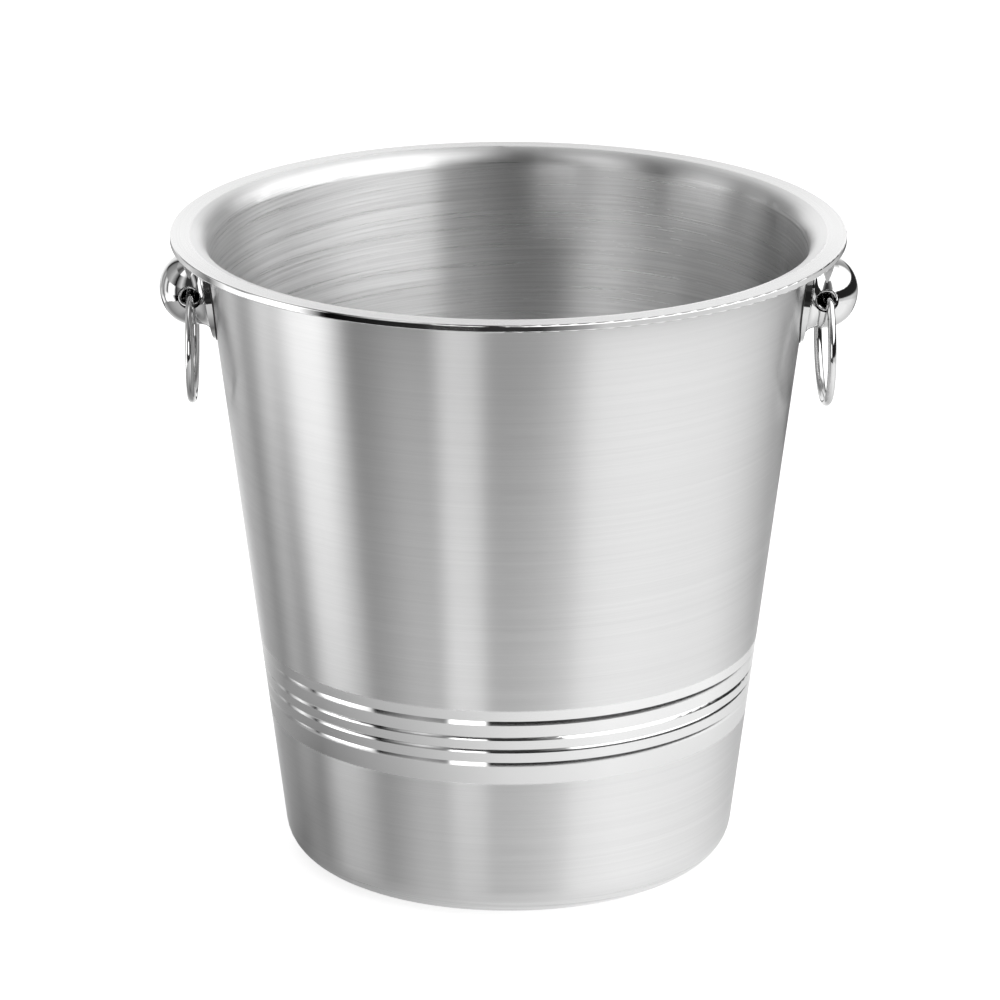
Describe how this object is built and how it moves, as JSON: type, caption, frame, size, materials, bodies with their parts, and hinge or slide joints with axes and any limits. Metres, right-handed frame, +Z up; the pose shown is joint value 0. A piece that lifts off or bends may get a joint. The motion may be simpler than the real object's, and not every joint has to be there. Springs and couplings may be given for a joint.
{
  "type": "champagne bucket",
  "caption": "Tapered round champagne bucket with a wide flat rim, a band of four rolled grooves and ball knobs that each carry a loose carrying ring.",
  "frame": {"origin": "middle of the base, on the plane the bucket stands on", "axes": "+X level through the right knob, +Y level, away from the viewer, +Z up along the bucket's axis"},
  "size_m": [0.2278, 0.22, 0.2125],
  "materials": {
    "brushed_shell": "brushed round the wall, satin flange, polished groove band",
    "polished_knob": "mirror polished",
    "polished_ring": "mirror polished",
    "black_rubber": "matt",
    "steel_fixing": "bright"
  },
  "bodies": {
    "root": {"bucket_shell": "brushed_shell", "knob_left": "polished_knob", "foot_gasket_left": "black_rubber", "inner_seal_left": "black_rubber", "inner_washer_left": "steel_fixing", "barrel_nut_left": "steel_fixing", "knob_right": "polished_knob", "foot_gasket_right": "black_rubber", "inner_seal_right": "black_rubber", "inner_washer_right": "steel_fixing", "barrel_nut_right": "steel_fixing"},
    "ring_left": {"ring_left": "polished_ring"},
    "ring_right": {"ring_right": "polished_ring"}
  },
  "joints": [
    {"name": "ring_left_swing", "type": "hinge", "parent": "root", "child": "ring_left", "pos_m": [-0.10349, 0, 0.19191], "axis": [0, 1, 0], "range_deg": [-14, 155]},
    {"name": "ring_right_swing", "type": "hinge", "parent": "root", "child": "ring_right", "pos_m": [0.10349, 0, 0.19191], "axis": [0, -1, 0], "range_deg": [-14, 155]}
  ]
}
